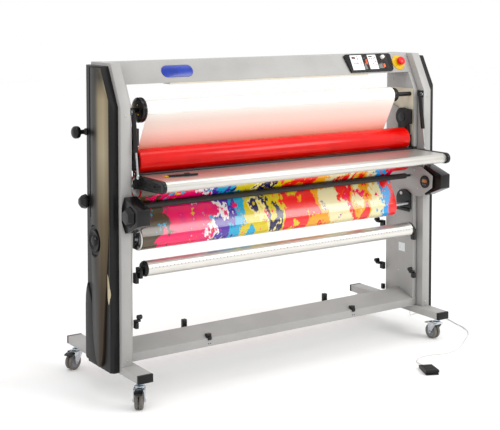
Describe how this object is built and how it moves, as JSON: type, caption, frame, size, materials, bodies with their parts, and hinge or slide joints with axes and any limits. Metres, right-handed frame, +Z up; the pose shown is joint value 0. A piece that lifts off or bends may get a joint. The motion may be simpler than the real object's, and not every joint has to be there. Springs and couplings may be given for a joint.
{
  "type": "cold roll laminator",
  "caption": "Floor-standing cold roll laminator on castors: two silicone nip rollers, film supply shaft, print roll, lifting feed table, side covers and a foot pedal.",
  "frame": {"origin": "on the floor, under the middle of the machine without its foot pedal and cord", "axes": "+Z up, +X to the operator's right along the rollers, -Y towards the operator"},
  "size_m": [2.3359, 1.152, 1.5725],
  "materials": {
    "frame_paint": "satin light grey powder coat",
    "black_plastic": "satin moulded black",
    "bronze_plastic": "bronze metallic lacquer",
    "silicone": "smooth red silicone",
    "aluminium": "natural anodised",
    "zinc": "bright zinc plate",
    "film": "clear film on white liner",
    "print": "printed vinyl",
    "yellow": "gloss",
    "red": "gloss",
    "orange": "satin",
    "tyre": "grey rubber",
    "cord": "pale grey PVC"
  },
  "bodies": {
    "frame": {"left_post": "frame_paint", "right_post": "frame_paint", "left_plate": "frame_paint", "right_plate": "frame_paint", "top_beam": "frame_paint", "stretcher_beam": "frame_paint", "left_foot": "frame_paint", "right_foot": "frame_paint", "left_cover": "black_plastic", "right_cover": "black_plastic", "left_barrel": "bronze_plastic", "right_barrel": "bronze_plastic", "power_inlet": "black_plastic", "control_panel": "black_plastic", "stop_collar": "yellow", "left_housing": "black_plastic", "right_housing": "black_plastic", "film_web": "film", "print_web": "print", "cord_gland": "black_plastic", "pedal_base": "black_plastic", "pedal_cord": "cord"},
    "start_key": {"start_key": "orange"},
    "stop_button": {"stop_button": "red"},
    "speed_dial": {"speed_dial": "aluminium"},
    "tension_knob_upper": {"tension_knob_upper": "black_plastic"},
    "tension_knob_lower": {"tension_knob_lower": "black_plastic"},
    "hand_wheel": {"hand_wheel": "black_plastic"},
    "left_pressure_knob": {"left_pressure_knob": "black_plastic"},
    "right_pressure_knob": {"right_pressure_knob": "black_plastic"},
    "roller_lift": {"left_lift_arm": "black_plastic", "right_lift_arm": "black_plastic"},
    "top_roller": {"top_roller": "silicone"},
    "lower_roller": {"lower_roller": "silicone"},
    "film_supply": {"supply_shaft": "black_plastic", "film_roll": "film"},
    "print_supply": {"print_shaft": "aluminium", "print_roll": "print"},
    "idler_bar": {"idler_bar": "black_plastic"},
    "front_tube": {"front_tube": "aluminium"},
    "feed_table": {"feed_table": "aluminium", "left_table_cap": "black_plastic", "right_table_cap": "black_plastic"},
    "left_strut_cylinder": {"left_strut_cylinder": "black_plastic"},
    "left_strut_rod": {"left_strut_rod": "zinc"},
    "right_strut_cylinder": {"right_strut_cylinder": "black_plastic"},
    "right_strut_rod": {"right_strut_rod": "zinc"},
    "castor_front_left": {"castor_fork_front_left": "zinc"},
    "castor_wheel_front_left": {"castor_wheel_front_left": "tyre"},
    "castor_brake_front_left": {"castor_brake_front_left": "black_plastic"},
    "castor_front_right": {"castor_fork_front_right": "zinc"},
    "castor_wheel_front_right": {"castor_wheel_front_right": "tyre"},
    "castor_brake_front_right": {"castor_brake_front_right": "black_plastic"},
    "castor_rear_left": {"castor_fork_rear_left": "zinc"},
    "castor_wheel_rear_left": {"castor_wheel_rear_left": "tyre"},
    "castor_brake_rear_left": {"castor_brake_rear_left": "black_plastic"},
    "castor_rear_right": {"castor_fork_rear_right": "zinc"},
    "castor_wheel_rear_right": {"castor_wheel_rear_right": "tyre"},
    "castor_brake_rear_right": {"castor_brake_rear_right": "black_plastic"},
    "pedal_treadle": {"pedal_treadle": "black_plastic"}
  },
  "joints": [
    {"name": "start_key_press", "type": "slide", "parent": "frame", "child": "start_key", "axis": [0, 0.8944, -0.4472], "range_m": [0, 0.0025], "stiffness_N_per_m": 400, "springref_m": -0.001},
    {"name": "stop_button_press", "type": "slide", "parent": "frame", "child": "stop_button", "axis": [0, 0.8944, -0.4472], "range_m": [0, 0.005], "stiffness_N_per_m": 600, "springref_m": -0.001},
    {"name": "speed_dial_turn", "type": "hinge", "parent": "frame", "child": "speed_dial", "pos_m": [0.73435, -0.05287, 1.55009], "axis": [0, -0.8944, 0.4472], "range_deg": [-150, 150]},
    {"name": "tension_upper_turn", "type": "hinge", "parent": "frame", "child": "tension_knob_upper", "pos_m": [-1.01465, 0.0965, 1.236], "axis": [1, 0, 0], "continuous": true},
    {"name": "tension_lower_turn", "type": "hinge", "parent": "frame", "child": "tension_knob_lower", "pos_m": [-0.99465, 0.0965, 0.902], "axis": [1, 0, 0], "continuous": true},
    {"name": "hand_wheel_turn", "type": "hinge", "parent": "frame", "child": "hand_wheel", "pos_m": [-0.98465, 0.0085, 0.727], "axis": [1, 0, 0], "continuous": true},
    {"name": "left_pressure_turn", "type": "hinge", "parent": "frame", "child": "left_pressure_knob", "pos_m": [-0.94465, -0.2625, 0.878], "axis": [1, 0, 0], "continuous": true},
    {"name": "right_pressure_turn", "type": "hinge", "parent": "frame", "child": "right_pressure_knob", "pos_m": [0.99535, -0.2625, 0.878], "axis": [1, 0, 0], "continuous": true},
    {"name": "roller_lift_slide", "type": "slide", "parent": "frame", "child": "roller_lift", "axis": [0, 0, 1], "range_m": [0, 0.03], "deforming": ["film_web"]},
    {"name": "top_roller_spin", "type": "hinge", "parent": "roller_lift", "child": "top_roller", "pos_m": [0.02535, -0.0895, 1.1], "axis": [1, 0, 0], "continuous": true},
    {"name": "lower_roller_spin", "type": "hinge", "parent": "frame", "child": "lower_roller", "pos_m": [0.02535, -0.0895, 0.9795], "axis": [1, 0, 0], "continuous": true},
    {"name": "film_supply_spin", "type": "hinge", "parent": "frame", "child": "film_supply", "pos_m": [0.02535, -0.0985, 1.345], "axis": [1, 0, 0], "continuous": true},
    {"name": "print_supply_spin", "type": "hinge", "parent": "frame", "child": "print_supply", "pos_m": [0.02535, -0.1035, 0.735], "axis": [1, 0, 0], "continuous": true},
    {"name": "idler_spin", "type": "hinge", "parent": "frame", "child": "idler_bar", "pos_m": [0.02535, -0.1085, 0.891], "axis": [1, 0, 0], "continuous": true},
    {"name": "front_tube_spin", "type": "hinge", "parent": "frame", "child": "front_tube", "pos_m": [0.02535, -0.1535, 0.602], "axis": [1, 0, 0], "continuous": true},
    {"name": "table_hinge", "type": "hinge", "parent": "frame", "child": "feed_table", "pos_m": [0.02535, -0.1535, 1], "axis": [-1, 0, 0], "range_deg": [0, 35]},
    {"name": "left_strut_swing", "type": "hinge", "parent": "frame", "child": "left_strut_cylinder", "pos_m": [-0.86465, -0.1655, 1.346], "axis": [1, 0, 0], "range_deg": [0, 6.85]},
    {"name": "left_strut_slide", "type": "slide", "parent": "left_strut_cylinder", "child": "left_strut_rod", "axis": [0, 0.1446, 0.9895], "range_m": [0, 0.0281]},
    {"name": "right_strut_swing", "type": "hinge", "parent": "frame", "child": "right_strut_cylinder", "pos_m": [0.91535, -0.1655, 1.346], "axis": [1, 0, 0], "range_deg": [0, 6.85]},
    {"name": "right_strut_slide", "type": "slide", "parent": "right_strut_cylinder", "child": "right_strut_rod", "axis": [0, 0.1446, 0.9895], "range_m": [0, 0.0281]},
    {"name": "castor_swivel_front_left", "type": "hinge", "parent": "frame", "child": "castor_front_left", "pos_m": [-0.89865, -0.2785, 0.11], "axis": [0, 0, 1], "continuous": true},
    {"name": "castor_roll_front_left", "type": "hinge", "parent": "castor_front_left", "child": "castor_wheel_front_left", "pos_m": [-0.91543, -0.30337, 0.04], "axis": [0.829, -0.5592, 0], "continuous": true},
    {"name": "castor_lock_front_left", "type": "hinge", "parent": "castor_front_left", "child": "castor_brake_front_left", "pos_m": [-0.91543, -0.30337, 0.085], "axis": [0.829, -0.5592, 0], "range_deg": [0, 10]},
    {"name": "castor_swivel_front_right", "type": "hinge", "parent": "frame", "child": "castor_front_right", "pos_m": [0.94935, -0.2785, 0.11], "axis": [0, 0, 1], "continuous": true},
    {"name": "castor_roll_front_right", "type": "hinge", "parent": "castor_front_right", "child": "castor_wheel_front_right", "pos_m": [0.94935, -0.2485, 0.04], "axis": [-1, 0, 0], "continuous": true},
    {"name": "castor_lock_front_right", "type": "hinge", "parent": "castor_front_right", "child": "castor_brake_front_right", "pos_m": [0.94935, -0.2485, 0.085], "axis": [-1, 0, 0], "range_deg": [0, 10]},
    {"name": "castor_swivel_rear_left", "type": "hinge", "parent": "frame", "child": "castor_rear_left", "pos_m": [-0.89865, 0.3885, 0.11], "axis": [0, 0, 1], "continuous": true},
    {"name": "castor_roll_rear_left", "type": "hinge", "parent": "castor_rear_left", "child": "castor_wheel_rear_left", "pos_m": [-0.92627, 0.37678, 0.04], "axis": [0.3907, -0.9205, 0], "continuous": true},
    {"name": "castor_lock_rear_left", "type": "hinge", "parent": "castor_rear_left", "child": "castor_brake_rear_left", "pos_m": [-0.92627, 0.37678, 0.085], "axis": [0.3907, -0.9205, 0], "range_deg": [0, 10]},
    {"name": "castor_swivel_rear_right", "type": "hinge", "parent": "frame", "child": "castor_rear_right", "pos_m": [0.94935, 0.3885, 0.11], "axis": [0, 0, 1], "continuous": true},
    {"name": "castor_roll_rear_right", "type": "hinge", "parent": "castor_rear_right", "child": "castor_wheel_rear_right", "pos_m": [0.93909, 0.36031, 0.04], "axis": [0.9397, -0.342, 0], "continuous": true},
    {"name": "castor_lock_rear_right", "type": "hinge", "parent": "castor_rear_right", "child": "castor_brake_rear_right", "pos_m": [0.93909, 0.36031, 0.085], "axis": [0.9397, -0.342, 0], "range_deg": [0, 10]},
    {"name": "pedal_press", "type": "hinge", "parent": "frame", "child": "pedal_treadle", "pos_m": [0.56344, -0.60484, 0.0095], "axis": [0.9063, -0.4226, 0], "range_deg": [0, 1.2], "stiffness_Nm_per_rad": 3, "springref_deg": -8.59}
  ],
  "couplings": [
    {"joint": "lower_roller_spin", "follows": "top_roller_spin", "ratio": -1},
    {"joint": "left_strut_swing", "follows": "table_hinge", "ratio": 0.18999},
    {"joint": "left_strut_slide", "follows": "table_hinge", "m_per_rad": 0.044304},
    {"joint": "right_strut_swing", "follows": "table_hinge", "ratio": 0.18999},
    {"joint": "right_strut_slide", "follows": "table_hinge", "m_per_rad": 0.044304}
  ]
}
